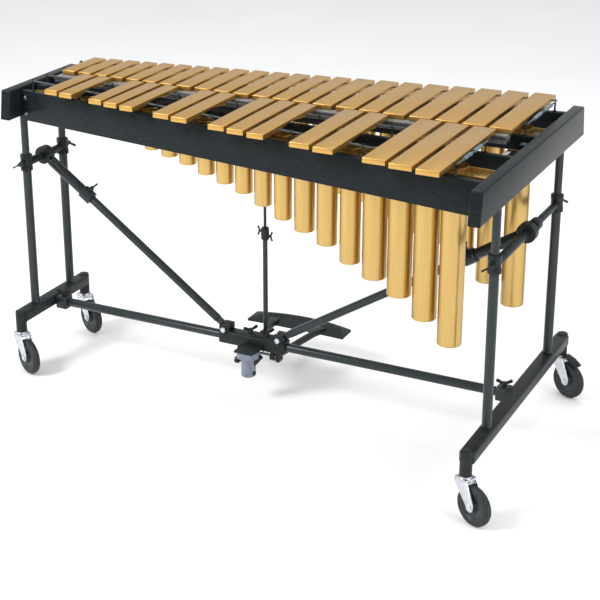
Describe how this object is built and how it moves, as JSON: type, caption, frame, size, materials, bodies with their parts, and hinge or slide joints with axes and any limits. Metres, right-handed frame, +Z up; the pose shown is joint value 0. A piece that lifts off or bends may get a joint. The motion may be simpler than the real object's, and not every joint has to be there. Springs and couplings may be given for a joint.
{
  "type": "vibraphone",
  "caption": "Vibraphone: two rows of gold metal bars over tuned resonator tubes with turning vanes, a damper pedal, and a height-adjustable stand on swivel casters.",
  "frame": {"origin": "centre of the bounding box, on the floor under the wheels", "axes": "+X along the keyboard toward the low notes, +Y toward the player, +Z up"},
  "size_m": [1.5025, 0.8071, 0.839],
  "materials": {
    "black_board": "satin black lacquer",
    "black_casting": "black powder coat",
    "dark_tube": "dark grey powder coat",
    "black_bolt": "black",
    "bar_gold": "satin gold anodised",
    "tube_gold": "satin gold lacquer",
    "steel": "dull zinc plate",
    "damper_metal": "plain extruded",
    "motor_case": "matt",
    "grey_casting": "grey paint",
    "zinc": "bright zinc",
    "wheel_rubber": "matt",
    "felt": "wool felt"
  },
  "bodies": {
    "stand": {"foot_rail_high": "black_casting", "foot_rail_low": "black_casting", "lower_post_high_front": "dark_tube", "lower_post_high_back": "dark_tube", "lower_post_low_front": "dark_tube", "lower_post_low_back": "dark_tube", "yoke_high": "black_casting", "yoke_low": "black_casting", "stretcher": "dark_tube", "centre_bracket": "black_casting", "spring_housing": "grey_casting", "brace_upper_high": "dark_tube", "brace_lower_high": "dark_tube", "brace_upper_low": "dark_tube", "brace_lower_low": "dark_tube"},
    "keyboard": {"end_block_high": "black_board", "end_block_low": "black_board", "apron_front": "black_board", "apron_back": "black_board", "inner_rail_front": "black_board", "inner_rail_back": "black_board", "damper_guide_high": "black_board", "damper_guide_low": "black_board", "bars_accidental": "bar_gold", "bars_natural": "bar_gold", "resonators_front": "tube_gold", "resonators_back": "tube_gold", "motor": "motor_case", "sliding_post_high_front": "dark_tube", "sliding_post_high_back": "dark_tube", "sliding_post_low_front": "dark_tube", "sliding_post_low_back": "dark_tube"},
    "front_vanes": {"vane_shaft_front": "steel"},
    "back_vanes": {"vane_shaft_back": "steel"},
    "motor_rotor": {"motor_pulley": "steel"},
    "damper": {"damper_bar": "damper_metal", "damper_felt": "felt", "damper_rod": "steel"},
    "pedal": {"pedal": "black_casting"},
    "pedal_link": {"pedal_rod": "steel"},
    "caster_high_front": {"caster_fork_high_front": "zinc"},
    "caster_high_back": {"caster_fork_high_back": "zinc"},
    "caster_low_front": {"caster_fork_low_front": "zinc"},
    "caster_low_back": {"caster_fork_low_back": "zinc"},
    "wheel_high_front": {"caster_wheel_high_front": "wheel_rubber"},
    "wheel_high_back": {"caster_wheel_high_back": "wheel_rubber"},
    "wheel_low_front": {"caster_wheel_low_front": "wheel_rubber"},
    "wheel_low_back": {"caster_wheel_low_back": "wheel_rubber"},
    "bolt_high_front": {"wing_bolt_high_front": "black_bolt"},
    "bolt_high_back": {"wing_bolt_high_back": "black_bolt"},
    "bolt_low_front": {"wing_bolt_low_front": "black_bolt"},
    "bolt_low_back": {"wing_bolt_low_back": "black_bolt"},
    "bolt_stretcher_high": {"wing_bolt_stretcher_high": "black_bolt"},
    "bolt_stretcher_low": {"wing_bolt_stretcher_low": "black_bolt"},
    "bolt_brace_high": {"wing_bolt_brace_high": "black_bolt"},
    "bolt_brace_low": {"wing_bolt_brace_low": "black_bolt"},
    "bolt_bracket_high": {"wing_bolt_bracket_high": "black_bolt"},
    "bolt_bracket_low": {"wing_bolt_bracket_low": "black_bolt"},
    "screw_clutch_high": {"wing_screw_clutch_high": "black_bolt"},
    "screw_clutch_low": {"wing_screw_clutch_low": "black_bolt"}
  },
  "joints": [
    {"name": "height_adjust", "type": "slide", "parent": "stand", "child": "keyboard", "axis": [0, 0, 1], "range_m": [-0.06, 0.09]},
    {"name": "back_vanes_turn", "type": "hinge", "parent": "keyboard", "child": "back_vanes", "pos_m": [-0.0259, 0.1345, 0.77], "axis": [0.9978, 0.0667, 0], "continuous": true},
    {"name": "front_vanes_turn", "type": "hinge", "parent": "keyboard", "child": "front_vanes", "pos_m": [-0.0259, -0.12776, 0.77], "axis": [0.9951, -0.0991, 0], "continuous": true},
    {"name": "motor_turn", "type": "hinge", "parent": "keyboard", "child": "motor_rotor", "pos_m": [0.5941, -0.0023, 0.757], "axis": [1, 0, 0], "continuous": true},
    {"name": "pedal_press", "type": "hinge", "parent": "stand", "child": "pedal", "pos_m": [-0.0539, 0.0097, 0.122], "axis": [1, 0, 0], "range_deg": [-13, 0], "stiffness_Nm_per_rad": 8, "springref_deg": 28.65},
    {"name": "pedal_link_slide", "type": "slide", "parent": "stand", "child": "pedal_link", "axis": [0, 0, 1], "range_m": [-0.008, 0]},
    {"name": "damper_drop", "type": "slide", "parent": "keyboard", "child": "damper", "axis": [0, 0, 1], "range_m": [-0.008, 0]},
    {"name": "caster_swivel_high_front", "type": "hinge", "parent": "stand", "child": "caster_high_front", "pos_m": [-0.7259, -0.1473, 0.118], "axis": [0, 0, 1], "continuous": true},
    {"name": "caster_swivel_high_back", "type": "hinge", "parent": "stand", "child": "caster_high_back", "pos_m": [-0.7259, 0.1667, 0.118], "axis": [0, 0, 1], "continuous": true},
    {"name": "caster_swivel_low_front", "type": "hinge", "parent": "stand", "child": "caster_low_front", "pos_m": [0.6741, -0.3603, 0.118], "axis": [0, 0, 1], "continuous": true},
    {"name": "caster_swivel_low_back", "type": "hinge", "parent": "stand", "child": "caster_low_back", "pos_m": [0.6741, 0.3797, 0.118], "axis": [0, 0, 1], "continuous": true},
    {"name": "wheel_roll_high_front", "type": "hinge", "parent": "caster_high_front", "child": "wheel_high_front", "pos_m": [-0.6969, -0.16082, 0.05], "axis": [0.4226, 0.9063, 0], "continuous": true},
    {"name": "wheel_roll_high_back", "type": "hinge", "parent": "caster_high_back", "child": "wheel_high_back", "pos_m": [-0.6969, 0.15318, 0.05], "axis": [0.4226, 0.9063, 0], "continuous": true},
    {"name": "wheel_roll_low_front", "type": "hinge", "parent": "caster_low_front", "child": "wheel_low_front", "pos_m": [0.7031, -0.37382, 0.05], "axis": [0.4226, 0.9063, 0], "continuous": true},
    {"name": "wheel_roll_low_back", "type": "hinge", "parent": "caster_low_back", "child": "wheel_low_back", "pos_m": [0.7031, 0.36618, 0.05], "axis": [0.4226, 0.9063, 0], "continuous": true},
    {"name": "bolt_high_front_turn", "type": "hinge", "parent": "stand", "child": "bolt_high_front", "pos_m": [-0.7259, -0.0988, 0.594], "axis": [0, -1, 0], "continuous": true},
    {"name": "bolt_high_back_turn", "type": "hinge", "parent": "stand", "child": "bolt_high_back", "pos_m": [-0.7259, 0.1182, 0.594], "axis": [0, 1, 0], "continuous": true},
    {"name": "bolt_low_front_turn", "type": "hinge", "parent": "stand", "child": "bolt_low_front", "pos_m": [0.6741, -0.2478, 0.594], "axis": [0, -1, 0], "continuous": true},
    {"name": "bolt_low_back_turn", "type": "hinge", "parent": "stand", "child": "bolt_low_back", "pos_m": [0.6741, 0.2672, 0.594], "axis": [0, 1, 0], "continuous": true},
    {"name": "bolt_stretcher_high_turn", "type": "hinge", "parent": "stand", "child": "bolt_stretcher_high", "pos_m": [-0.6886, 0.0097, 0.173], "axis": [0, 0, 1], "continuous": true},
    {"name": "bolt_stretcher_low_turn", "type": "hinge", "parent": "stand", "child": "bolt_stretcher_low", "pos_m": [0.6368, 0.0097, 0.173], "axis": [0, 0, 1], "continuous": true},
    {"name": "bolt_brace_high_turn", "type": "hinge", "parent": "stand", "child": "bolt_brace_high", "pos_m": [-0.57854, 0.0097, 0.50811], "axis": [0.5851, 0, 0.8109], "continuous": true},
    {"name": "bolt_brace_low_turn", "type": "hinge", "parent": "stand", "child": "bolt_brace_low", "pos_m": [0.52128, 0.0097, 0.51867], "axis": [-0.5267, 0, 0.8501], "continuous": true},
    {"name": "bolt_bracket_high_turn", "type": "hinge", "parent": "stand", "child": "bolt_bracket_high", "pos_m": [-0.0779, 0.0017, 0.181], "axis": [0, 0, 1], "continuous": true},
    {"name": "bolt_bracket_low_turn", "type": "hinge", "parent": "stand", "child": "bolt_bracket_low", "pos_m": [-0.0279, 0.0017, 0.181], "axis": [0, 0, 1], "continuous": true},
    {"name": "screw_clutch_high_turn", "type": "hinge", "parent": "pedal_link", "child": "screw_clutch_high", "pos_m": [-0.0649, 0.0437, 0.462], "axis": [-1, 0, 0], "continuous": true},
    {"name": "screw_clutch_low_turn", "type": "hinge", "parent": "pedal_link", "child": "screw_clutch_low", "pos_m": [-0.0429, 0.0437, 0.45], "axis": [1, 0, 0], "continuous": true}
  ],
  "couplings": [
    {"joint": "front_vanes_turn", "follows": "back_vanes_turn", "ratio": 1},
    {"joint": "motor_turn", "follows": "back_vanes_turn", "ratio": 1.5556},
    {"joint": "pedal_link_slide", "follows": "pedal_press", "m_per_rad": 0.034},
    {"joint": "damper_drop", "follows": "pedal_press", "m_per_rad": 0.034}
  ]
}
